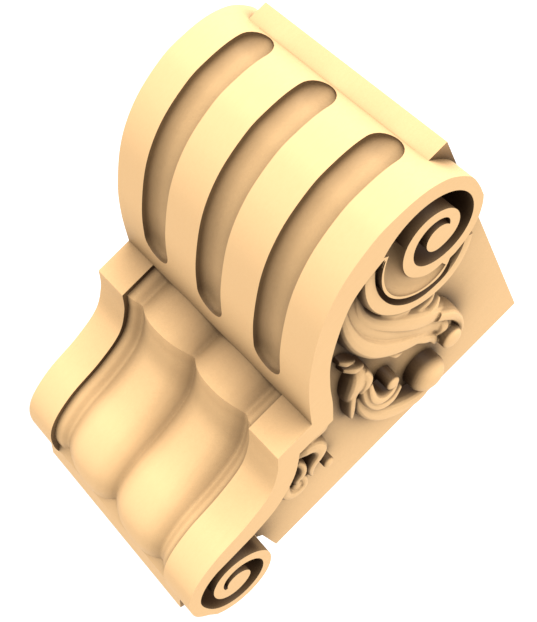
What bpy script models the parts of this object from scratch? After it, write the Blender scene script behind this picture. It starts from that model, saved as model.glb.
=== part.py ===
"""Decorative corbel, carved from one block of pale hardwood.

A scroll bracket: a large volute at the top, a plain band, two lobes between side rails,
a small volute curling in at the foot, three flutes down the front and carved foliage on
each recessed side panel. X is to the right seen from the front, Y is towards the wall,
Z is up, and the origin is the middle of the flat face that meets the wall.
"""

import math

import bmesh
import bpy
from mathutils import Vector

# Driving dimensions. HALF_WIDTH is in metres, and every other length is a share of it.
HALF_WIDTH = 0.075
TOP_HEIGHT = 1.25
PANEL_FACE = 0.82
RAIL_INNER = 0.705
CAP_FRONT = -2.43
CAP_THICKNESS = 0.154
BAND_FRONT = -1.42
BAND_TOP = -1.675
BAND_FOOT = -1.975
WALL_FACE_FOOT = -2.48
FOOT_ARRIS = (-0.43, -3.225)
GROOVE_FLOOR = 0.68
DISH_FLOOR = 0.90
FLUTE_SPACING = 0.59
FLUTE_HALF_WIDTH = 0.131
FLUTE_DEPTH = 0.08
FLUTE_TOP = -0.275
FLUTE_END = -1.575
LOBE_HALF = 0.28
VALLEY = 0.59
LOBE_INSET = 0.012
CREASE_DEPTH = 0.072
LARGE_EYE = (-2.005, -0.37)
SMALL_EYE = (-0.46, -2.81)
RELIEF_ROOT = 0.78

# The scroll's front and the rail's front, as (distance from the wall, height from the top).
SCROLL_FRONT = (
    (-2.09, 0.0), (-2.25, -0.025), (-2.385, -0.11), (-2.465, -0.20), (-2.525, -0.34),
    (-2.55, -0.52), (-2.54, -0.72), (-2.44, -1.0), (-2.25, -1.245), (-1.96, -1.455),
    (-1.70, -1.58), (BAND_FRONT, BAND_TOP),
)
RAIL_FRONT = (
    (BAND_FRONT, BAND_FOOT), (-1.265, -2.05), (-1.11, -2.20), (-1.03, -2.45),
    (-0.99, -2.75), (-0.90, -2.98), (-0.76, -3.11), (-0.55, -3.16), (-0.36, -3.09),
)
SCROLL_BACK = (
    (-2.30, -0.74), (-2.20, -1.025), (-1.90, -1.30), (-1.65, -1.42), (-1.42, -1.49),
    (-1.24, -1.56),
)
RAIL_BACK = (
    (-1.24, -1.86), (-1.04, -2.0), (-0.89, -2.225), (-0.84, -2.46),
)


def smooth(points, steps):
    """A curve through the points, with this many short lines between each two."""
    ends = [points[0], *points, points[-1]]
    out = []
    for i in range(1, len(ends) - 2):
        before, start, end, after = ends[i - 1], ends[i], ends[i + 1], ends[i + 2]
        for k in range(steps):
            t = k / steps
            row = []
            for a, b, c, d in zip(before, start, end, after):
                cubic = (3 * b - a - 3 * c + d) * t ** 3
                square = (2 * a - 5 * b + 4 * c - d) * t ** 2
                row.append(0.5 * (2 * b + (c - a) * t + square + cubic))
            out.append(tuple(row))
    out.append(tuple(points[-1]))
    return out


def around(centre, stops, step=12.0):
    """Points about the centre, through (angle in degrees, radius) stops, as a spiral."""
    rows = smooth(stops, 12)
    span = abs(stops[-1][0] - stops[0][0])
    count = max(2, round(span / step))
    out = []
    for k in range(count + 1):
        angle = stops[0][0] + (stops[-1][0] - stops[0][0]) * k / count
        near = min(range(len(rows) - 1), key=lambda i: gap_to(angle, rows[i], rows[i + 1]))
        a, b = rows[near], rows[near + 1]
        share = 0.0 if a[0] == b[0] else (angle - a[0]) / (b[0] - a[0])
        radius = a[1] + (b[1] - a[1]) * min(1.0, max(0.0, share))
        turn = math.radians(angle)
        out.append((centre[0] + radius * math.cos(turn), centre[1] + radius * math.sin(turn)))
    return out


def gap_to(angle, a, b):
    low, high = min(a[0], b[0]), max(a[0], b[0])
    return max(low - angle, angle - high, 0.0)


def inset(points, distance):
    """The open line moved in by the distance, on its left-hand side as it runs."""
    out = []
    for i, (y, z) in enumerate(points):
        last = points[max(0, i - 1)]
        following = points[min(len(points) - 1, i + 1)]
        along = [Vector((y - last[0], z - last[1])), Vector((following[0] - y, following[1] - z))]
        along = [v.normalized() for v in along if v.length > 1e-9]
        sides = [Vector((-v.y, v.x)) for v in along]
        middle = sum(sides, Vector((0, 0))).normalized()
        reach = distance / max(0.5, middle.dot(sides[0]))
        out.append((y + middle.x * reach, z + middle.y * reach))
    return out


def place(x, y, z):
    return Vector((x, y, z + TOP_HEIGHT)) * HALF_WIDTH


def mesh_object(name, collection, rings, closed_ends=True):
    """A solid skin over rings of equal length, with a flat face on each end."""
    bm = bmesh.new()
    rows = [[bm.verts.new(point) for point in ring] for ring in rings]
    count = len(rings[0])
    for low, high in zip(rows, rows[1:]):
        for i in range(count):
            j = (i + 1) % count
            bm.faces.new((low[i], low[j], high[j], high[i]))
    if closed_ends:
        bm.faces.new(reversed(rows[0]))
        bm.faces.new(rows[-1])
    bmesh.ops.recalc_face_normals(bm, faces=bm.faces)
    mesh = bpy.data.meshes.new(name)
    bm.to_mesh(mesh)
    bm.free()
    obj = bpy.data.objects.new(name, mesh)
    collection.objects.link(obj)
    return obj


def slab(name, collection, outline, x_low, x_high):
    """The outline, in (y, z), drawn out along X between two planes."""
    rings = [[place(x, y, z) for y, z in outline] for x in (x_low, x_high)]
    return mesh_object(name, collection, rings)


def helper(obj):
    obj.hide_render = True
    obj.display_type = "WIRE"
    return obj


def add_boolean(target, tool, operation):
    modifier = target.modifiers.new(tool.name, "BOOLEAN")
    modifier.operation = operation
    modifier.solver = "EXACT"
    modifier.object = tool
    return modifier


def core_outline():
    """The block between the two side planes, with its front set back behind the lobes."""
    scroll = smooth(SCROLL_FRONT, 3)
    under_cap = [p for p in scroll if p[1] < -CAP_THICKNESS - 0.01]
    behind = inset(smooth(RAIL_FRONT, 3), 0.13)
    behind = [p for p in behind if p[1] > -2.93 and BAND_FRONT + 0.13 < p[0] < -0.8]
    roll = around(SMALL_EYE, ((-62, 0.30), (0, 0.285), (72, 0.30)))
    return (
        [(0.0, 0.0), (CAP_FRONT, 0.0), (CAP_FRONT, -CAP_THICKNESS)]
        + under_cap
        + [(BAND_FRONT + 0.13, BAND_TOP)]
        + behind
        + [(-0.67, -3.07), (-0.58, -3.15), FOOT_ARRIS]
        + roll
        + [(-0.30, WALL_FACE_FOOT), (0.0, WALL_FACE_FOOT)]
    )


def side_outline():
    """One side: the scroll's edge, the rail and both volutes before their grooves."""
    boss = around(
        LARGE_EYE,
        ((-130, 0.47), (-90, 0.51), (-45, 0.52), (-12, 0.49), (16, 0.31), (60, 0.335), (88, 0.37)),
    )
    foot = around(SMALL_EYE, ((-60, 0.31), (0, 0.29), (60, 0.30), (92, 0.305)))
    rail = [p for p in smooth(RAIL_FRONT, 4) if p[0] < -0.40]
    back = smooth(SCROLL_BACK, 3) + smooth(RAIL_BACK, 3)
    return smooth(SCROLL_FRONT, 3) + rail + foot + list(reversed(back)) + boss


def lobe_recess(x):
    """How far the front between the rails lies behind the rails, at this X."""
    x = abs(x)
    if x < LOBE_HALF:
        share = (1 - x / LOBE_HALF) ** 2
    elif x < VALLEY:
        share = 0.5 - 0.5 * math.cos(math.pi * (x - LOBE_HALF) / (VALLEY - LOBE_HALF))
    else:
        share = 0.55 + 0.45 * math.cos(math.pi * (x - VALLEY) / 0.22)
    return LOBE_INSET + (CREASE_DEPTH - LOBE_INSET) * share


def lobes(collection):
    """The band's middle and the two lobes under it, as sections across the width."""
    rail = smooth(RAIL_FRONT[:-1], 3)
    front = [(BAND_FRONT, BAND_TOP + 0.02), rail[0]] + rail[2:]
    stations = [-0.76, -0.69, -0.66, -0.63, -VALLEY, -0.55, -0.50, -0.44, -0.36, -LOBE_HALF]
    stations += [-0.20, -0.13, -0.07, -0.03]
    stations = stations + [0.0] + [-x for x in reversed(stations)]
    rings = []
    for x in stations:
        line = inset(front, lobe_recess(x))
        ring = line + [(-0.50, -3.0), (-0.75, -2.4), (-1.05, -2.0), (-1.2, BAND_TOP + 0.02)]
        rings.append([place(x, y, z) for y, z in ring])
    return mesh_object("lobes", collection, rings)


def flute(name, collection, x_middle):
    """A cutter along the scroll's front, for a shallow hollow channel with round ends."""
    line = smooth(SCROLL_FRONT, 6)[1::2]
    path = [p for p in line if FLUTE_END < p[1] < FLUTE_TOP]
    path.append(at_height(line, FLUTE_END))
    stations = [(0, -turn) for turn in (82, 60, 36, 15)]
    stations += [(i, 0) for i in range(len(path))]
    stations += [(len(path) - 1, turn) for turn in (15, 36, 60, 82)]
    rings = []
    for i, turn in stations:
        share = math.cos(math.radians(turn))
        ahead = FLUTE_HALF_WIDTH * math.sin(math.radians(turn))
        depth = FLUTE_DEPTH * (0.3 + 0.7 * share)
        rings.append(channel_ring(x_middle, path, i, ahead, FLUTE_HALF_WIDTH * share, depth))
    return helper(mesh_object(name, collection, rings))


def at_height(line, height):
    """The point of the line at this height."""
    for a, b in zip(line, line[1:]):
        if a[1] >= height >= b[1]:
            share = (a[1] - height) / (a[1] - b[1])
            return (a[0] + (b[0] - a[0]) * share, height)
    return line[-1]


def channel_ring(x_middle, path, i, ahead, half, depth):
    """One section of a flute's cutter: an ellipse, deeper than it stands out of the front."""
    a, b = path[max(0, i - 1)], path[min(len(path) - 1, i + 1)]
    along = Vector((b[0] - a[0], b[1] - a[1])).normalized()
    y, z = path[i][0] + along.x * ahead, path[i][1] + along.y * ahead
    ring = []
    for k in range(14):
        angle = 2 * math.pi * (k + 0.5) / 14
        across = half * math.cos(angle) / math.cos(math.pi / 14)
        out = (0.07 if math.sin(angle) > 0 else depth) * math.sin(angle)
        ring.append(place(x_middle + across, y + along.y * out, z - along.x * out))
    return ring


def stem(name, collection, points, widths, height, side):
    """A carved stem or leaf fold on a side panel: an arched section along a curved path."""
    rows = smooth([(y, z, w) for (y, z), w in zip(points, widths)], 3 if max(widths) > 0.1 else 2)
    rings = []
    for i, (y, z, w) in enumerate(rows):
        a, b = rows[max(0, i - 1)], rows[min(len(rows) - 1, i + 1)]
        along = Vector((b[0] - a[0], b[1] - a[1])).normalized()
        rise = PANEL_FACE - RELIEF_ROOT + height * min(1.0, w / max(widths) + 0.25)
        ring = []
        for k in range(7):
            angle = math.pi * k / 6
            across, up = w * math.cos(angle), rise * math.sin(angle)
            ring.append(place(side * (RELIEF_ROOT + up), y - along.y * across, z + along.x * across))
        rings.append(ring)
    return helper(mesh_object(name, collection, rings))


def bud(name, collection, centre, radius, height, side):
    """A round boss on a side panel, as a dome over its root."""
    rings = []
    rise = PANEL_FACE - RELIEF_ROOT + height
    for turn in (0, 25, 48, 68, 84):
        size = radius * math.cos(math.radians(turn))
        up = rise * math.sin(math.radians(turn))
        ring = []
        for k in range(14):
            angle = 2 * math.pi * k / 14
            y, z = centre[0] + size * math.cos(angle), centre[1] + size * math.sin(angle)
            ring.append(place(side * (RELIEF_ROOT + up), y, z))
        rings.append(ring)
    return helper(mesh_object(name, collection, rings))


def foliage(collection, side):
    """The carved leaves, scrolls and buds of one side panel."""
    tag = "right" if side > 0 else "left"
    parts = [
        ("leaf_low", ((-2.2, -0.98), (-1.9, -1.09), (-1.6, -1.09), (-1.33, -0.99), (-1.12, -0.81),
                      (-0.96, -0.66), (-0.84, -0.58)),
         (0.05, 0.10, 0.11, 0.11, 0.09, 0.07, 0.03), 0.14),
        ("leaf_high", ((-1.8, -0.93), (-1.5, -0.86), (-1.3, -0.73), (-1.12, -0.59), (-0.93, -0.50),
                       (-0.76, -0.475), (-0.65, -0.53), (-0.64, -0.62)),
         (0.04, 0.11, 0.13, 0.10, 0.06, 0.05, 0.045, 0.03), 0.15),
        ("petal", ((-1.52, -0.78), (-1.44, -0.64), (-1.40, -0.54)), (0.04, 0.07, 0.04), 0.10),
        ("scroll", ((-0.42, -0.78), (-0.42, -1.0), (-0.53, -1.2), (-0.72, -1.34), (-0.93, -1.40),
                    (-1.13, -1.38), (-1.26, -1.30), (-1.22, -1.22)),
         (0.03, 0.06, 0.07, 0.06, 0.07, 0.09, 0.08, 0.04), 0.13),
        ("curl", ((-1.10, -1.22), (-0.95, -1.30), (-0.82, -1.26), (-0.78, -1.15), (-0.86, -1.08),
                  (-0.93, -1.11)),
         (0.04, 0.05, 0.05, 0.045, 0.04, 0.03), 0.12),
        ("tongue", ((-1.20, -1.58), (-1.13, -1.70), (-1.12, -1.80)), (0.03, 0.06, 0.03), 0.12),
        ("bend", ((-0.98, -1.92), (-1.0, -1.78), (-0.91, -1.71), (-0.81, -1.75), (-0.78, -1.87),
                  (-0.73, -1.95)),
         (0.03, 0.05, 0.05, 0.05, 0.045, 0.03), 0.12),
        ("hook", ((-0.84, -1.98), (-0.77, -2.10), (-0.67, -2.13), (-0.60, -2.06), (-0.64, -1.99)),
         (0.03, 0.045, 0.045, 0.04, 0.03), 0.11),
        ("tip", ((-0.85, -2.18), (-0.78, -2.26), (-0.68, -2.33)), (0.03, 0.05, 0.02), 0.06),
    ]
    made = []
    for name, points, widths, height in parts:
        made.append(stem(f"{name}_{tag}", collection, points, widths, height, side))
    made.append(bud(f"leaf_eye_{tag}", collection, (-0.76, -0.61), 0.09, 0.155, side))
    made.append(bud(f"bud_{tag}", collection, (-0.58, -0.87), 0.15, 0.17, side))
    made.append(bud(f"tube_{tag}", collection, (-0.67, -1.79), 0.05, 0.09, side))
    lip = around(LARGE_EYE, ((8, 0.44), (-10, 0.52), (-50, 0.555), (-90, 0.53), (-118, 0.50)), 14)
    widths = [0.035 + 0.02 * math.sin(math.pi * k / (len(lip) - 1)) for k in range(len(lip))]
    made.append(stem(f"lip_{tag}", collection, lip[::2], widths[::2], 0.15, side))
    return made


def grooves(collection, side):
    """The cutters of one side: both spiral grooves, the shallow dish and the crescent."""
    tag = "right" if side > 0 else "left"
    large = around(
        LARGE_EYE,
        ((228, 0.47), (180, 0.40), (90, 0.29), (0, 0.205), (-90, 0.2075), (-180, 0.1775),
         (-252, 0.125)),
    ) + list(reversed(around(
        LARGE_EYE,
        ((228, 0.285), (180, 0.257), (90, 0.175), (20, 0.105), (-60, 0.10), (-180, 0.10),
         (-252, 0.098)),
    )))
    small = [(-0.84, -2.462), (-0.833, -2.65)] + around(
        SMALL_EYE,
        ((180, 0.37), (225, 0.325), (270, 0.255), (360, 0.22), (450, 0.23), (540, 0.17),
         (600, 0.10)),
    ) + list(reversed(around(
        SMALL_EYE,
        ((92, 0.306), (180, 0.26), (270, 0.158), (360, 0.102), (450, 0.12), (540, 0.10),
         (600, 0.08)),
    )))
    dish = around(
        LARGE_EYE, ((-138, 0.43), (-90, 0.425), (-45, 0.40), (-12, 0.31)),
    ) + list(reversed(around(
        LARGE_EYE, ((-138, 0.30), (-90, 0.291), (-45, 0.286), (-12, 0.295)),
    )))
    crescent = around(
        LARGE_EYE, ((14, 0.315), (-10, 0.45), (-45, 0.455), (-87, 0.455), (-128, 0.44)),
    ) + list(reversed(around(
        LARGE_EYE, ((14, 0.345), (-10, 0.50), (-45, 0.515), (-87, 0.50), (-128, 0.455)),
    )))
    made = []
    for name, outline, floor in (
        ("large_groove", large, GROOVE_FLOOR),
        ("small_groove", small, GROOVE_FLOOR),
        ("dish", dish, DISH_FLOOR),
        ("crescent", crescent, 0.78),
    ):
        made.append(helper(slab(f"{name}_{tag}", collection, outline, side * floor, side * 1.05)))
    return made


def wood():
    material = bpy.data.materials.new("pale carved hardwood")
    material.use_nodes = True
    shader = material.node_tree.nodes["Principled BSDF"]
    shader.inputs["Base Color"].default_value = (0.80, 0.55, 0.30, 1.0)
    shader.inputs["Roughness"].default_value = 0.55
    return material


def main():
    for obj in list(bpy.data.objects):
        bpy.data.objects.remove(obj)
    scene = bpy.context.scene.collection
    part = bpy.data.collections.new("decorative_corbel")
    tools = bpy.data.collections.new("cutters")
    scene.children.link(part)
    scene.children.link(tools)

    corbel = slab("corbel", part, core_outline(), -PANEL_FACE, PANEL_FACE)
    corbel.data.materials.append(wood())
    added = [helper(lobes(tools))]
    for side in (-1, 1):
        tag = "right" if side > 0 else "left"
        plate = slab(f"side_{tag}", tools, side_outline(), side * RAIL_INNER, side * 1.0)
        added.append(helper(plate))
        added += foliage(tools, side)
    for tool in added:
        add_boolean(corbel, tool, "UNION")
    cut = [flute(f"flute_{k}", tools, (k - 1) * FLUTE_SPACING) for k in range(3)]
    for side in (-1, 1):
        cut += grooves(tools, side)
    for tool in cut:
        add_boolean(corbel, tool, "DIFFERENCE")


main()
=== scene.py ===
# %% [markdown]
# A decorative corbel: a bracket carved from one block of pale hardwood, which is fixed to a wall
# under a shelf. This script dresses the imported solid. It loads that solid as a fixed frame, sets the
# camera and the light, carves a finer body that stands for the plain solid, and gives it a wood finish.
# The solid's box is kept here, because the carving may not grow past it.

import math
import time

import bmesh
import bpy
from mathutils import Matrix, Vector


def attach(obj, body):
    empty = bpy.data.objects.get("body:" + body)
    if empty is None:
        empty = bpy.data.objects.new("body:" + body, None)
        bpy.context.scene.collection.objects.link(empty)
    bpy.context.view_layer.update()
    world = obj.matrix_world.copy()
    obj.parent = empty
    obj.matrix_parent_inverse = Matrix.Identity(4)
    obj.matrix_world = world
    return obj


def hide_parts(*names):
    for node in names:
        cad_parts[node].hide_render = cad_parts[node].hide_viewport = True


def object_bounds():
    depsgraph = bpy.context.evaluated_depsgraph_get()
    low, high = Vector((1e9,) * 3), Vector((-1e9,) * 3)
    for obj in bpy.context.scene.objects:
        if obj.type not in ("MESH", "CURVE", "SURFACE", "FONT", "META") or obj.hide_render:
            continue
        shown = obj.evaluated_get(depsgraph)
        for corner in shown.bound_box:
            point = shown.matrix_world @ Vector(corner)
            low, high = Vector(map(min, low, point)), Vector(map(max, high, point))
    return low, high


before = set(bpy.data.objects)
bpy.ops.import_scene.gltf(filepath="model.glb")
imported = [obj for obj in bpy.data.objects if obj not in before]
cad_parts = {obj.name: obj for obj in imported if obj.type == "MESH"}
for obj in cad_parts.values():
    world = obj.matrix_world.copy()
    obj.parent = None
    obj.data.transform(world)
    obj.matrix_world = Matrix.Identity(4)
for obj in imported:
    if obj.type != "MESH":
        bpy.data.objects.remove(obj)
solid_box = [list(corner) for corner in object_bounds()]
print("solid box in metres:", solid_box)

# %% [markdown]
# Every size below is a share of the corbel's half width, which is 75 mm. Places are given as the
# carver would mark them: x from the middle line, y from the wall (negative towards the room), and z
# down from the flat top. One function turns such a place into metres in the frame.

# %% Shares and places
HALF_WIDTH = 0.075
TOP_HEIGHT = 1.25


def place(x, y, z):
    return Vector((x, y, z + TOP_HEIGHT)) * HALF_WIDTH


print("the top of the block is", round(place(0, 0, 0).z * 1000, 1), "mm above the origin")

# %% [markdown]
# The picture looks at the corbel from about 30 degrees to the right of its front, almost level, and
# the frame is rolled by 45 degrees. The camera is set by those three angles, by how far off it stands
# and by how far its axis passes from the origin, so nothing has to be aimed by hand. The lens is
# worked out from the picture's focal length and its longer side, both in pixels.

# %% Camera
AZIMUTH, ELEVATION, ROLL = 29.592, -1.905, 45.002
AXIS_MISS = (1.295, 0.552)
STAND_OFF = 9.531
SENSOR_MM = 36.0
FOCAL_PIXELS, PICTURE_PIXELS = 1242.4, 622.0


def camera_axes(azimuth, elevation, roll):
    a, e, r = (math.radians(angle) for angle in (azimuth, elevation, roll))
    back = Vector((math.sin(a) * math.cos(e), -math.cos(a) * math.cos(e), math.sin(e)))
    level = Vector((math.cos(a), math.sin(a), 0.0))
    upright = back.cross(level)
    right = level * math.cos(r) + upright * math.sin(r)
    up = -level * math.sin(r) + upright * math.cos(r)
    return right, up, back


right, up, back = camera_axes(AZIMUTH, ELEVATION, ROLL)
spot = -AXIS_MISS[0] * right - AXIS_MISS[1] * up + STAND_OFF * back
camera_data = bpy.data.cameras.new("camera")
camera_data.sensor_width = SENSOR_MM
camera_data.sensor_fit = "AUTO"
camera_data.lens = SENSOR_MM * FOCAL_PIXELS / PICTURE_PIXELS
camera_data.clip_start = 0.01
camera_data.clip_end = 30.0
camera = bpy.data.objects.new("camera", camera_data)
turn = Matrix((right, up, back)).transposed().to_4x4()
camera.matrix_world = Matrix.Translation(place(*spot)) @ turn
bpy.context.scene.collection.objects.link(camera)
bpy.context.scene.camera = camera
print("camera stands at", [round(c, 3) for c in camera.matrix_world.translation])

# %% [markdown]
# The carving is drawn before it is cut. A few marks along each curve are enough, because a smooth
# curve runs through them, and a volute is a curve about its eye whose radius shrinks as it turns. The
# marks are those of the plain solid, so the carved body keeps its form.

# %% Curves
def smooth(marks, steps):
    """A curve through the marks, with this many short lines between each two."""
    ends = [marks[0], *marks, marks[-1]]
    curve = []
    for i in range(1, len(ends) - 2):
        for k in range(steps):
            t = k / steps
            curve.append(tuple(
                0.5 * (2 * b + (c - a) * t + (2 * a - 5 * b + 4 * c - d) * t ** 2
                       + (3 * b - a - 3 * c + d) * t ** 3)
                for a, b, c, d in zip(*ends[i - 1:i + 3])
            ))
    return curve + [tuple(marks[-1])]


def about(eye, stops, step=4.0):
    """Points about an eye, through (angle in degrees, radius) stops."""
    rows = smooth(stops, 12)
    first, last = stops[0][0], stops[-1][0]
    sign = 1 if last > first else -1
    count = max(2, round(abs(last - first) / step))
    curve, row = [], 0
    for k in range(count + 1):
        angle = first + (last - first) * k / count
        while row < len(rows) - 2 and sign * rows[row + 1][0] < sign * angle:
            row += 1
        (a, near), (b, far) = rows[row], rows[row + 1]
        share = 0.0 if a == b else min(1.0, max(0.0, (angle - a) / (b - a)))
        radius = near + (far - near) * share
        turned = math.radians(angle)
        curve.append((eye[0] + radius * math.cos(turned), eye[1] + radius * math.sin(turned)))
    return curve


def moved_in(curve, distance):
    """The open curve moved to its left-hand side as it runs."""
    moved = []
    for i, (y, z) in enumerate(curve):
        before, after = curve[max(0, i - 1)], curve[min(len(curve) - 1, i + 1)]
        runs = [Vector((y - before[0], z - before[1])), Vector((after[0] - y, after[1] - z))]
        sides = [Vector((-run.y, run.x)).normalized() for run in runs if run.length > 1e-9]
        middle = sum(sides, Vector((0, 0))).normalized()
        moved.append(Vector((y, z)) + middle * (distance / max(0.5, middle.dot(sides[0]))))
    return [tuple(point) for point in moved]


BAND_FRONT, BAND_TOP, BAND_FOOT = -1.42, -1.675, -1.975
SCROLL_FRONT = (
    (-2.09, 0.0), (-2.25, -0.025), (-2.385, -0.11), (-2.465, -0.20), (-2.525, -0.34),
    (-2.55, -0.52), (-2.54, -0.72), (-2.44, -1.0), (-2.25, -1.245), (-1.96, -1.455),
    (-1.70, -1.58), (BAND_FRONT, BAND_TOP),
)
RAIL_FRONT = (
    (BAND_FRONT, BAND_FOOT), (-1.265, -2.05), (-1.11, -2.20), (-1.03, -2.45),
    (-0.99, -2.75), (-0.90, -2.98), (-0.76, -3.11), (-0.55, -3.16), (-0.36, -3.09),
)
SCROLL_BACK = (
    (-2.30, -0.74), (-2.20, -1.025), (-1.90, -1.30), (-1.65, -1.42), (-1.42, -1.49), (-1.24, -1.56),
)
RAIL_BACK = ((-1.24, -1.86), (-1.04, -2.0), (-0.89, -2.225), (-0.84, -2.46))
LARGE_EYE, SMALL_EYE = (-2.005, -0.37), (-0.46, -2.81)
print("curves drawn for a scroll", round(2.55 * HALF_WIDTH * 1000), "mm deep")

# %% [markdown]
# A slab is the simplest carved form: an outline seen from the side, pulled out along the width. It
# starts as one face, and the extrude operator gives it its thickness. Only the right half is carved
# here, a little past the middle line, because the two halves mirror each other. The block reaches out
# to the recessed panel, and the side slab, which is the scroll's edge with the rail, to the full width.

# %% Slabs
PAST_MIDDLE = -0.07
RAIL_INSIDE, PANEL, FACE = 0.705, 0.82, 1.0
SET_BACK = 0.13


def finished(bm, name):
    """The bmesh as an object, with its faces turned outwards."""
    bmesh.ops.recalc_face_normals(bm, faces=bm.faces)
    mesh = bpy.data.meshes.new(name)
    bm.to_mesh(mesh)
    bm.free()
    made = bpy.data.objects.new(name, mesh)
    bpy.context.scene.collection.objects.link(made)
    return made


def slab(name, outline, x_low, x_high):
    bm = bmesh.new()
    face = bm.faces.new([bm.verts.new(place(x_low, y, z)) for y, z in outline])
    pulled = bmesh.ops.extrude_face_region(bm, geom=[face])["geom"]
    corners = [item for item in pulled if isinstance(item, bmesh.types.BMVert)]
    bmesh.ops.translate(bm, verts=corners, vec=((x_high - x_low) * HALF_WIDTH, 0, 0))
    return finished(bm, name)


def block_outline():
    """The core behind the lobes: cap, scroll, a front set back from the rails, and the foot's roll."""
    scroll = [p for p in smooth(SCROLL_FRONT, 10) if p[1] < -0.158]
    behind = moved_in(smooth(RAIL_FRONT, 6), SET_BACK)
    behind = [p for p in behind if p[1] > -2.93 and BAND_FRONT + SET_BACK < p[0] < -0.8]
    roll = about(SMALL_EYE, ((-62, 0.30), (0, 0.285), (72, 0.30)))
    cap = [(0.0, 0.0), (-2.43, 0.0), (-2.43, -0.154)]
    foot = [(-0.67, -3.07), (-0.58, -3.15), (-0.43, -3.225)]
    back = [(-0.30, -2.48), (0.0, -2.48)]
    return cap + scroll + [(BAND_FRONT + SET_BACK, BAND_TOP)] + behind + foot + roll + back


def side_outline():
    """The scroll's edge, the band's end and the rail, with the boss of each volute."""
    boss = about(LARGE_EYE, (
        (-130, 0.455), (-90, 0.47), (-45, 0.47), (-12, 0.42), (6, 0.32), (16, 0.30), (60, 0.335),
        (88, 0.37)))
    foot = about(SMALL_EYE, ((-60, 0.31), (0, 0.29), (60, 0.30), (92, 0.305)))
    rail = [p for p in smooth(RAIL_FRONT, 10) if p[0] < -0.40]
    edge = smooth(SCROLL_BACK, 8) + smooth(RAIL_BACK, 8)
    return smooth(SCROLL_FRONT, 10) + rail + foot + edge[::-1] + boss


block = slab("block", block_outline(), PAST_MIDDLE, PANEL)
side = slab("side", side_outline(), RAIL_INSIDE, FACE)
print("two slabs,", len(block.data.vertices) + len(side.data.vertices), "corners")

# %% [markdown]
# Between the rails the front swells into two lobes with a crease between them and a low bead beside
# each rail, and the band above swells with them. A grid is bent to that shape: each of its columns is
# the rail's own front, moved in by an amount that depends on how far the column is from the middle
# line. Extruding the grid backwards gives it a body that can be joined to the block.

# %% Lobes
LOBE_MARKS = (
    (0.0, 0.095), (0.04, 0.070), (0.10, 0.040), (0.18, 0.014), (0.29, 0.003), (0.40, 0.010),
    (0.48, 0.032), (0.54, 0.058), (0.58, 0.074), (0.61, 0.064), (0.64, 0.048), (0.67, 0.040),
    (0.70, 0.036), (0.80, 0.030),
)
LOBE_SIDE, LOBE_COLUMNS = 0.76, 63
LOBE_BACKING = (0, 0.16, 0.13)


def lobe_depth(x):
    """How far the front between the rails lies behind the rails, at this place in the width."""
    curve = smooth(LOBE_MARKS, 6)
    for (near, shallow), (far, deep) in zip(curve, curve[1:]):
        if near <= abs(x) <= far:
            return shallow + (deep - shallow) * (abs(x) - near) / (far - near)
    return curve[-1][1]


def lobes():
    rail = smooth(RAIL_FRONT[:-1], 8)
    front = [(BAND_FRONT, BAND_TOP + 0.02), (BAND_FRONT, -1.80), rail[0]] + rail[6:]
    last_column, last_row = LOBE_COLUMNS - 1, len(front) - 1
    widths = [PAST_MIDDLE + (LOBE_SIDE - PAST_MIDDLE) * k / last_column for k in range(LOBE_COLUMNS)]
    columns = [moved_in(front, lobe_depth(x)) for x in widths]
    bm = bmesh.new()
    bmesh.ops.create_grid(bm, x_segments=last_column, y_segments=last_row, size=1.0)
    for vert in bm.verts:
        column = round((vert.co.x + 1) / 2 * last_column)
        row = round((1 - vert.co.y) / 2 * last_row)
        vert.co = place(widths[column], *columns[column][row])
    backing = bmesh.ops.extrude_face_region(bm, geom=list(bm.faces))["geom"]
    corners = [item for item in backing if isinstance(item, bmesh.types.BMVert)]
    bmesh.ops.translate(bm, verts=corners, vec=[share * HALF_WIDTH for share in LOBE_BACKING])
    return finished(bm, "lobes")


lobed = lobes()
print("lobes:", len(lobed.data.polygons), "faces")

# %% [markdown]
# Stems, buds, flutes and the dish are all one form: a section that travels along a path. Each section
# starts as a circle, is given its outline and turned to the path, and is bridged to the one before.
# A flute's cutter is such a bar. Its section is an oval with squared shoulders, so the channel has a
# broad floor and steep sides, and it narrows at both ends, so the channel ends in a half circle.

# %% Sections along a path
def swept(name, sections, sides=20):
    """Bridges rings of points, each one given as a function from an angle to a place."""
    bm = bmesh.new()
    last = None
    for i, section in enumerate(sections):
        ends = i in (0, len(sections) - 1)
        ring = bmesh.ops.create_circle(bm, cap_ends=ends, segments=sides, radius=1.0)["verts"]
        for vert in ring:
            vert.co = section(math.atan2(vert.co.y, vert.co.x))
        edges = list({
            edge for vert in ring for edge in vert.link_edges if edge.other_vert(vert) in ring})
        if last is not None:
            bmesh.ops.bridge_loops(bm, edges=last + edges)
        last = edges
    return finished(bm, name)


def along(path, i):
    """The way the path runs at its point i."""
    a, b = path[max(0, i - 1)], path[min(len(path) - 1, i + 1)]
    return Vector((b[0] - a[0], b[1] - a[1])).normalized()


def at_height(curve, height):
    """The point where the falling curve passes this height."""
    for a, b in zip(curve, curve[1:]):
        if a[1] >= height >= b[1]:
            share = (a[1] - height) / (a[1] - b[1])
            return (a[0] + (b[0] - a[0]) * share, height)
    return curve[-1]


def squared(value, power):
    """A sine or a cosine pushed towards its ends, which squares a round section's shoulders."""
    return math.copysign(abs(value) ** power, value)


FLUTE_TOP, FLUTE_END = -0.275, -1.575
FLUTE_HALF, FLUTE_DEPTH = 0.131, 0.078
FLUTE_SPACING = 0.59
SHOULDER = 0.6


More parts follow.
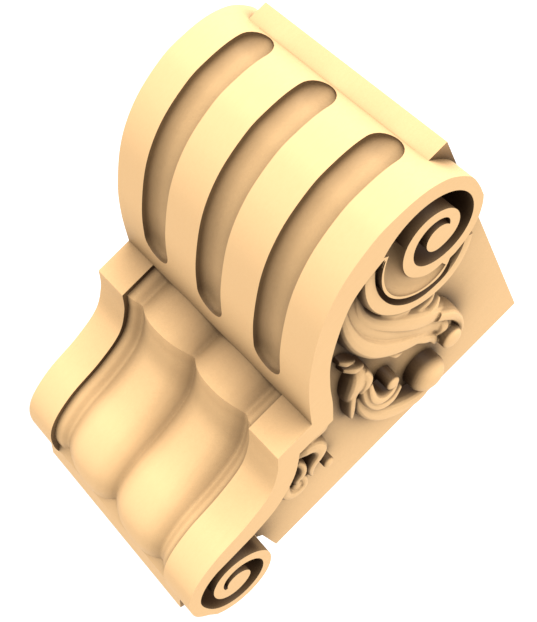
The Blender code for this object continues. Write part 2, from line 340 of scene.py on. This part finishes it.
def flute(name, x_middle):
    """The cutter for a channel along the scroll's front, shallow and with round ends."""
    curve = smooth(SCROLL_FRONT, 18)[1::2]
    path = [p for p in curve if FLUTE_END < p[1] < FLUTE_TOP] + [at_height(curve, FLUTE_END)]
    turns = (10, 22, 36, 50, 64, 76, 86)
    stations = [(0, -turn) for turn in turns[::-1]] + [(i, 0) for i in range(len(path))]
    stations += [(len(path) - 1, turn) for turn in turns]

    def section(i, turn):
        run, share = along(path, i), math.cos(math.radians(turn))
        ahead = FLUTE_HALF * math.sin(math.radians(turn))
        y, z = path[i][0] + run.x * ahead, path[i][1] + run.y * ahead
        depth = FLUTE_DEPTH * (0.3 + 0.7 * share)

        def at(a):
            across, out = squared(math.cos(a), SHOULDER), squared(math.sin(a), SHOULDER)
            out = out * (0.07 if out > 0 else depth)
            return place(x_middle + FLUTE_HALF * share * across, y + run.y * out, z - run.x * out)

        return at

    return swept(name, [section(i, turn) for i, turn in stations], 32)


flutes = [flute("flute_middle", 0.0), flute("flute_right", FLUTE_SPACING)]
print("flute cutters:", [len(bar.data.polygons) for bar in flutes], "faces")

# %% [markdown]
# A stem lies on the panel and follows marks that are given in the side view. Its root is sunk below
# the panel's face, so that the stem and the panel make one solid with no gap, and it stands lower
# where it is narrower, as a carver thins a leaf towards its tip. A bud or the end of a tube is a
# round post with a domed top. The lip round the large volute is a stem with nearly square shoulders.

# %% Stems and buds
ROOT = 0.775


def stem(name, marks, widths, height, power=0.6, steps=6):
    """marks are (y, z) on the panel, and widths are the half widths there. A power of 1 gives a round
    top, and a smaller one a flatter top with steeper flanks."""
    rows = smooth([(y, z, w) for (y, z), w in zip(marks, widths)], steps)
    widest = max(widths)

    def section(i):
        y, z, w = rows[i]
        run = along(rows, i)
        rise = (PANEL - ROOT) + height * min(1.0, 0.35 + 0.65 * w / widest)

        def at(a):
            across, up = squared(math.cos(a), power), squared(math.sin(a), power)
            x = min(FACE - 0.002, ROOT + rise * up) if up > 0 else ROOT + 0.03 * up
            return place(x, y - run.y * across * w, z + run.x * across * w)

        return at

    return swept(name, [section(i) for i in range(len(rows))])


def bud(name, centre, radius, height, dome):
    """A round post on the panel: a straight wall, and a domed end of the given height."""
    wall = PANEL - ROOT + height - dome

    def section(turn):
        size = radius * math.cos(math.radians(max(0, turn)))
        up = wall + dome * math.sin(math.radians(turn)) if turn >= 0 else 0.0
        return lambda a: place(
            ROOT + up, centre[0] + size * math.cos(a), centre[1] + size * math.sin(a))

    return swept(name, [section(turn) for turn in (-1, 0, 8, 18, 28, 38, 48, 58, 68, 78, 86)], 32)


lip_line = about(
    LARGE_EYE, ((30, 0.40), (12, 0.46), (-10, 0.51), (-50, 0.53), (-90, 0.53), (-140, 0.50)), 8)
last_mark = len(lip_line) - 1
lip_widths = [0.045 + 0.02 * math.sin(math.pi * k / last_mark) for k in range(len(lip_line))]
lip = stem("lip", lip_line, lip_widths, 0.177, power=0.35, steps=2)
print("the lip round the volute:", len(lip.data.polygons), "faces")

# %% [markdown]
# The spiral grooves and the dark crescent under the large volute are slabs too, between an outer and
# an inner curve about the eye. The shallow dish beside the crescent is swept, because its floor rises
# towards its end. All of them are cutters: a Boolean takes them out of the block, as a chisel takes
# out the waste. They reach a little past the face, so no skin of wood is left over them.

# %% Grooves
PAST_FACE = 1.05
GROOVE_FLOOR, CRESCENT_FLOOR = 0.68, 0.78
DISH_HALF, DISH_FLOOR = 0.074, 0.05


def ribbon_gap(eye, outer, inner):
    """The outline of the gap between two curves about an eye, each given by its stops."""
    return about(eye, outer) + about(eye, inner)[::-1]


large = ribbon_gap(
    LARGE_EYE,
    ((228, 0.47), (180, 0.40), (90, 0.29), (0, 0.205), (-90, 0.2075), (-180, 0.1775), (-225, 0.15),
     (-252, 0.107)),
    ((228, 0.285), (180, 0.257), (90, 0.175), (20, 0.105), (-60, 0.10), (-180, 0.10), (-252, 0.102)))
small = [(-0.84, -2.462), (-0.833, -2.65)] + ribbon_gap(
    SMALL_EYE,
    ((180, 0.37), (225, 0.325), (270, 0.255), (360, 0.22), (450, 0.23), (540, 0.17), (600, 0.10)),
    ((92, 0.306), (180, 0.26), (270, 0.158), (360, 0.102), (450, 0.12), (540, 0.10), (600, 0.08)))


def dish():
    """The cutter for the shallow hollow under the large volute: oval sections about its eye."""
    line = about(LARGE_EYE, ((-150, 0.355), (-90, 0.362), (-60, 0.358), (-30, 0.342), (-4, 0.285)), 5)
    count = len(line) - 1

    def section(i):
        run, gone = along(line, i), i / count
        half = DISH_HALF * (1 - 0.75 * gone ** 5)
        floor = DISH_FLOOR * (1 - 0.6 * gone) + 0.12 * (1 - gone) ** 4

        def at(a):
            across, sunk = half * math.cos(a), floor * math.sin(a)
            return place(FACE + sunk, line[i][0] - run.y * across, line[i][1] + run.x * across)

        return at

    return swept("dish", [section(i) for i in range(count)], 24)


crescent = ribbon_gap(
    LARGE_EYE, ((1, 0.295), (-8, 0.35), (-19, 0.40), (-45, 0.435), (-87, 0.455), (-128, 0.443)),
    ((15, 0.306), (0, 0.445), (-22, 0.485), (-45, 0.504), (-87, 0.486), (-128, 0.453)))
cutters = flutes + [
    slab("groove_large", large, GROOVE_FLOOR, PAST_FACE),
    slab("groove_small", small, GROOVE_FLOOR, PAST_FACE),
    dish(),
    slab("crescent", crescent, CRESCENT_FLOOR, PAST_FACE),
]


def boolean(target, tool, operation):
    step = target.modifiers.new(tool.name, "BOOLEAN")
    step.operation, step.solver, step.object = operation, "EXACT", tool


for tool in (lobed, side, lip):
    boolean(block, tool, "UNION")
for tool in cutters:
    boolean(block, tool, "DIFFERENCE")
print(len(block.modifiers), "Boolean steps set")

# %% [markdown]
# The foliage lies on the recessed panel: a long acanthus leaf from under the volute, a bud, a stem
# that swings round it to a wave-shaped head, and small curls lower down. Each is a stem with its own
# widths along its path, and a leaf is a broad low stem under narrower higher ones. A valley is left
# where two stems lie side by side, which is how the folds of a carved leaf are parted.

# %% Foliage
foliage = [
    # The leaf: two broad bodies with the vein between them, its back under the lip, and its blades.
    stem("leaf_body", ((-2.06, -0.96), (-1.94, -1.02), (-1.80, -1.05), (-1.62, -1.03), (-1.44, -0.95),
                       (-1.27, -0.84), (-1.12, -0.72), (-0.98, -0.61), (-0.86, -0.58), (-0.76, -0.60)),
         (0.05, 0.08, 0.11, 0.13, 0.15, 0.15, 0.14, 0.12, 0.11, 0.09), 0.128),
    stem("leaf_upper", ((-2.10, -0.90), (-1.98, -0.965), (-1.84, -0.995), (-1.66, -0.965), (-1.48, -0.87),
                        (-1.30, -0.75), (-1.16, -0.64), (-1.04, -0.55), (-0.93, -0.49)),
         (0.03, 0.045, 0.055, 0.07, 0.09, 0.10, 0.09, 0.06, 0.04), 0.152),
    stem("leaf_lower", ((-2.10, -1.03), (-1.98, -1.09), (-1.82, -1.125), (-1.62, -1.12), (-1.42, -1.06),
                        (-1.26, -0.965), (-1.12, -0.85), (-1.0, -0.74), (-0.94, -0.64)),
         (0.03, 0.05, 0.07, 0.085, 0.10, 0.10, 0.09, 0.07, 0.05), 0.15),
    stem("leaf_back", ((-1.66, -0.90), (-1.56, -0.83), (-1.48, -0.75), (-1.42, -0.66)),
         (0.04, 0.06, 0.06, 0.03), 0.13),
    stem("blade_long", ((-1.36, -0.78), (-1.33, -0.68), (-1.31, -0.58), (-1.30, -0.515)),
         (0.05, 0.045, 0.04, 0.02), 0.13),
    stem("blade_wide", ((-1.25, -0.76), (-1.22, -0.66), (-1.20, -0.58), (-1.20, -0.51)),
         (0.07, 0.07, 0.06, 0.03), 0.14),
    # The leaf's tip, which curls round an eye.
    stem("head", ((-1.10, -0.60), (-0.98, -0.52), (-0.86, -0.485), (-0.75, -0.475), (-0.66, -0.50),
                  (-0.62, -0.56), (-0.63, -0.63)),
         (0.06, 0.06, 0.05, 0.045, 0.045, 0.045, 0.03), 0.15),
    stem("head_low", ((-1.06, -0.80), (-0.95, -0.74), (-0.86, -0.70), (-0.76, -0.69), (-0.68, -0.68)),
         (0.06, 0.06, 0.05, 0.04, 0.02), 0.13),
    stem("head_inner", ((-0.95, -0.57), (-0.87, -0.60), (-0.83, -0.66)), (0.05, 0.06, 0.04), 0.13),
    bud("leaf_eye", (-0.715, -0.595), 0.085, 0.17, 0.03),
    # The bud, and the fold beside it.
    bud("bud", (-0.46, -0.86), 0.15, 0.176, 0.10),
    stem("fold", ((-1.18, -1.02), (-1.10, -0.97), (-1.03, -0.93)), (0.02, 0.04, 0.03), 0.12),
    # The stem that swings round the bud to the wave-shaped head, with the tube in its curl.
    stem("scroll_outer", ((-0.25, -0.83), (-0.275, -0.98), (-0.36, -1.13), (-0.50, -1.26),
                          (-0.65, -1.33), (-0.82, -1.35), (-0.95, -1.33)),
         (0.04, 0.08, 0.09, 0.09, 0.08, 0.065, 0.04), 0.115),
    stem("scroll_inner", ((-0.63, -1.06), (-0.64, -1.16), (-0.70, -1.25), (-0.80, -1.295),
                          (-0.93, -1.30), (-1.03, -1.27)),
         (0.03, 0.05, 0.055, 0.05, 0.045, 0.03), 0.135),
    stem("curl", ((-1.03, -1.22), (-0.95, -1.255), (-0.86, -1.26), (-0.78, -1.22), (-0.75, -1.14),
                  (-0.78, -1.075), (-0.84, -1.06)),
         (0.03, 0.045, 0.05, 0.05, 0.045, 0.035, 0.025), 0.145),
    bud("tube", (-0.84, -1.10), 0.055, 0.14, 0.02),
    stem("wave_head", ((-1.28, -1.22), (-1.22, -1.24), (-1.15, -1.29), (-1.07, -1.35), (-0.95, -1.39)),
         (0.05, 0.08, 0.09, 0.07, 0.04), 0.115),
    stem("wave_crest", ((-1.22, -1.20), (-1.13, -1.21), (-1.06, -1.26), (-1.0, -1.30)),
         (0.04, 0.055, 0.05, 0.03), 0.125),
    stem("wave_tail", ((-1.06, -1.36), (-0.95, -1.41), (-0.84, -1.445), (-0.76, -1.455)),
         (0.04, 0.04, 0.03, 0.015), 0.10),
    stem("tuft_left", ((-1.50, -1.29), (-1.44, -1.25), (-1.36, -1.20)), (0.02, 0.035, 0.02), 0.08),
    stem("tuft_right", ((-1.40, -1.30), (-1.33, -1.24), (-1.27, -1.18)), (0.02, 0.04, 0.03), 0.10),
    # The lower set, half hidden behind the rail.
    stem("tongue", ((-1.08, -1.55), (-1.06, -1.64), (-1.08, -1.74), (-1.13, -1.81)),
         (0.04, 0.08, 0.08, 0.04), 0.10),
    stem("bend", ((-1.04, -1.95), (-1.02, -1.83), (-0.95, -1.76), (-0.86, -1.75), (-0.79, -1.79),
                  (-0.73, -1.87), (-0.64, -1.91), (-0.56, -1.92)),
         (0.04, 0.07, 0.07, 0.07, 0.06, 0.05, 0.035, 0.02), 0.12),
    stem("second", ((-0.93, -1.93), (-0.86, -1.92), (-0.80, -1.95), (-0.76, -2.01), (-0.70, -2.03)),
         (0.03, 0.04, 0.045, 0.04, 0.03), 0.115),
    stem("ring", ((-0.86, -2.06), (-0.79, -2.12), (-0.68, -2.135), (-0.60, -2.09), (-0.59, -2.01),
                  (-0.66, -1.975), (-0.73, -2.0)),
         (0.04, 0.06, 0.055, 0.05, 0.045, 0.04, 0.03), 0.11),
    bud("ring_eye", (-0.655, -2.05), 0.05, 0.085, 0.02),
    stem("tip", ((-0.84, -2.20), (-0.76, -2.25), (-0.66, -2.25)), (0.04, 0.06, 0.02), 0.07),
    stem("tip_low", ((-0.80, -2.33), (-0.71, -2.34), (-0.60, -2.32)), (0.02, 0.035, 0.015), 0.04),
    bud("tube_low", (-0.60, -1.78), 0.045, 0.11, 0.02),
]
print(len(foliage), "carved forms on the panel")

# %% [markdown]
# The leaves become one skin. A voxel remesh reads all of them as one solid and wraps them in even
# small quads, which softens every joint as a sanded carving's are. A smoothing pass takes out the
# steps, and a decimate leaves many triangles on the tight curves and few on the flats. The skin is
# then joined to the block by a Boolean. The block isn't remeshed, so its own edges stay crisp.

# %% One skin
VOXEL = 0.00034
LEAF_TRIANGLES = 56000


def evaluated(made, name):
    """A new object with the mesh that this one has after its modifiers."""
    bpy.context.view_layer.update()
    graph = bpy.context.evaluated_depsgraph_get()
    mesh = bpy.data.meshes.new_from_object(made.evaluated_get(graph), depsgraph=graph)
    fresh = bpy.data.objects.new(name, mesh)
    bpy.context.scene.collection.objects.link(fresh)
    return fresh


def drop(made):
    mesh = made.data
    bpy.data.objects.remove(made)
    bpy.data.meshes.remove(mesh)


start = time.perf_counter()
cut_block = evaluated(block, "cut_block")
print("cut block:", len(cut_block.data.polygons), "faces", round(time.perf_counter() - start, 1), "s")
bm = bmesh.new()
for form in foliage:
    bm.from_mesh(form.data)
leaves = finished(bm, "leaves")
skin = leaves.modifiers.new("skin", "REMESH")
skin.mode = "VOXEL"
skin.voxel_size = VOXEL
soft = leaves.modifiers.new("soft", "SMOOTH")
soft.factor = 0.5
soft.iterations = 3
thin = leaves.modifiers.new("thin", "DECIMATE")
whole = evaluated(leaves, "whole")
print("leaf skin:", len(whole.data.polygons), "faces", round(time.perf_counter() - start, 1), "s")
thin.ratio = min(1.0, LEAF_TRIANGLES / (2 * len(whole.data.polygons)))
leaf_skin = evaluated(leaves, "leaf_skin")
boolean(cut_block, leaf_skin, "UNION")
half = evaluated(cut_block, "half")
print("half:", len(half.data.polygons), "faces", round(time.perf_counter() - start, 1), "s")

# %% [markdown]
# The half is cut clean at the middle line and mirrored, so the two sides of the corbel match. A corner
# that smoothing moved past the solid's box is put back on it. Faces are shaded smooth, and an edge
# whose faces meet at a larger angle than the crisp one is marked sharp, so arrises stay bright lines.

# %% Mirror the half
CRISP = 32
ON_MIDDLE = 2e-6
bm = bmesh.new()
bm.from_mesh(half.data)
bmesh.ops.bisect_plane(
    bm, geom=list(bm.verts) + list(bm.edges) + list(bm.faces), dist=1e-6, plane_co=(0, 0, 0),
    plane_no=(1, 0, 0), clear_inner=True)
for vert in bm.verts:
    if abs(vert.co.x) < ON_MIDDLE:
        vert.co.x = 0.0
bmesh.ops.mirror(
    bm, geom=list(bm.verts) + list(bm.edges) + list(bm.faces), axis="X", merge_dist=1e-6)
low, high = (Vector(corner) for corner in solid_box)
for vert in bm.verts:
    vert.co = Vector(min(max(c, a), b) for c, a, b in zip(vert.co, low, high))
bmesh.ops.triangulate(bm, faces=bm.faces)
bmesh.ops.recalc_face_normals(bm, faces=bm.faces)
for face in bm.faces:
    face.smooth = True
for edge in bm.edges:
    edge.smooth = edge.calc_face_angle(0.0) < math.radians(CRISP)
carved = finished(bm, "carved_corbel")
helpers = [block, lobed, side, lip, cut_block, leaves, whole, leaf_skin, half] + cutters + foliage
for made in helpers:
    drop(made)
print("carved corbel:", len(carved.data.polygons), "triangles", round(time.perf_counter() - start, 1), "s")

# %% [markdown]
# The wood is limewood or a like pale hardwood, cut with sharp tools, sanded smooth and left bare: an
# even honey colour, almost no sheen, and grain so fine that it shows only as a faint mottle. The
# grain runs up the block, so its pattern is stretched along Z. Shade is painted into the hollows,
# which makes the carving read strongly: the Ambient Occlusion node measures how open a point is, and
# a power of that share mixes a dark brown painted shade into the pale wood.

# %% Wood
def linear(code):
    """An sRGB hex colour as linear red, green, blue and alpha."""
    shares = [int(code[i:i + 2], 16) / 255 for i in (1, 3, 5)]
    return [s / 12.92 if s <= 0.04045 else ((s + 0.055) / 1.055) ** 2.4 for s in shares] + [1.0]


def node(tree, kind, settings=None, **links):
    """Adds a node, sets its sockets and properties, and links the sockets given by name."""
    made = tree.nodes.new(kind)
    for key, value in (settings or {}).items():
        if isinstance(key, str) and hasattr(made, key):
            setattr(made, key, value)
        else:
            made.inputs[key].default_value = value
    for key, source in links.items():
        tree.links.new(source, made.inputs[key.replace("_", " ")])
    return made


# Patterns have this many cells in a metre. The grain's are 1.1 mm wide and 14 mm long, and the mottle's
# are 4.5 mm. Real limewood's pores are finer, and are drawn this coarse so that they show at all.
GRAIN_CELLS, GRAIN_STRETCH, MOTTLE_CELLS = 900.0, 0.08, 220.0
# How far the painted shade in the hollows reaches, and how steeply it darkens.
PAINTED_SHADE_REACH = 0.05
PAINTED_SHADE_POWER = 3.3


def carved_limewood():
    wood = bpy.data.materials.new("sanded bare limewood")
    wood.use_nodes = True
    tree = wood.node_tree
    tree.nodes.clear()
    where = node(tree, "ShaderNodeTexCoord")
    stretched = node(tree, "ShaderNodeMapping", {"Scale": (1.0, 1.0, GRAIN_STRETCH)},
                     Vector=where.outputs["Object"])
    grain = node(tree, "ShaderNodeTexNoise", {"Scale": GRAIN_CELLS, "Detail": 4.0, "Roughness": 0.6},
                 Vector=stretched.outputs["Vector"])
    mottle = node(tree, "ShaderNodeTexNoise", {"Scale": MOTTLE_CELLS, "Detail": 3.0},
                  Vector=where.outputs["Object"])
    pale = node(tree, "ShaderNodeMix", {"data_type": "RGBA", 6: linear("#DDB37F"), 7: linear("#E1B986")})
    tree.links.new(grain.outputs["Fac"], pale.inputs[0])
    # Painted shade: the Ambient Occlusion share, raised to a power, mixes a dark brown into the wood's
    # colour in the hollows.
    closed_in = node(tree, "ShaderNodeAmbientOcclusion", {"samples": 12, "Distance": PAINTED_SHADE_REACH})
    painted_shade_mask = node(tree, "ShaderNodeMath", {"operation": "POWER", 1: PAINTED_SHADE_POWER})
    tree.links.new(closed_in.outputs["AO"], painted_shade_mask.inputs[0])
    painted_shade_mix = node(tree, "ShaderNodeMix", {"data_type": "RGBA", 6: linear("#2A1A0D")})
    tree.links.new(painted_shade_mask.outputs[0], painted_shade_mix.inputs[0])
    tree.links.new(pale.outputs[2], painted_shade_mix.inputs[7])
    bump = node(tree, "ShaderNodeBump", {"Strength": 0.12, "Distance": 0.0003}, Height=mottle.outputs["Fac"])
    sheen = {"Roughness": 0.6, "IOR": 1.45, "Specular IOR Level": 0.12}
    shader = node(tree, "ShaderNodeBsdfPrincipled", sheen,
                  Base_Color=painted_shade_mix.outputs[2], Normal=bump.outputs["Normal"])
    node(tree, "ShaderNodeOutputMaterial", Surface=shader.outputs["BSDF"])
    return wood


wood = carved_limewood()
carved.data.materials.clear()
carved.data.materials.append(wood)
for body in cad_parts.values():
    body.data.materials.clear()
    body.data.materials.append(wood)
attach(carved, "root")
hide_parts("corbel")
print("wood:", wood.name)

# %% [markdown]
# The picture's ground is plain white with no horizon and no shadow. Here it is a pale floor far below
# the hanging corbel and a white sky, which read as one white ground. The sky gives most of the light,
# so the hollows darken by themselves. One soft key light comes from the front and above, a little
# from the left. It throws no shadow, because in the picture the band under the scroll is fully lit.

# %% Stage and light
FLOOR_HALF, FLOOR_HEIGHT = 6.0, -1.2
bm = bmesh.new()
bmesh.ops.create_grid(bm, x_segments=1, y_segments=1, size=FLOOR_HALF)
bmesh.ops.translate(bm, verts=bm.verts, vec=(0, 0, FLOOR_HEIGHT))
floor = finished(bm, "floor")
paint = bpy.data.materials.new("pale floor paint")
paint.use_nodes = True
paint_look = paint.node_tree.nodes["Principled BSDF"].inputs
paint_look["Base Color"].default_value = linear("#C4C4C4")
paint_look["Roughness"].default_value = 0.9
floor.data.materials.append(paint)

world = bpy.data.worlds.new("white studio")
world.use_nodes = True
sky = world.node_tree.nodes["Background"].inputs
sky["Color"].default_value = (1.0, 1.0, 1.0, 1.0)
sky["Strength"].default_value = 1.42
bpy.context.scene.world = world
bpy.context.scene.view_settings.view_transform = "Standard"

TO_KEY = (-0.12, -0.755, 0.645)
key_data = bpy.data.lights.new("key", "SUN")
key_data.energy = 3.4
key_data.use_shadow = False
key_data.angle = math.radians(12)
key = bpy.data.objects.new("key", key_data)
key.rotation_euler = Vector(TO_KEY).to_track_quat("Z", "Y").to_euler()
bpy.context.scene.collection.objects.link(key)
print("one key light and a white sky")

# %% [markdown]

# %% End
print("scene dressed")
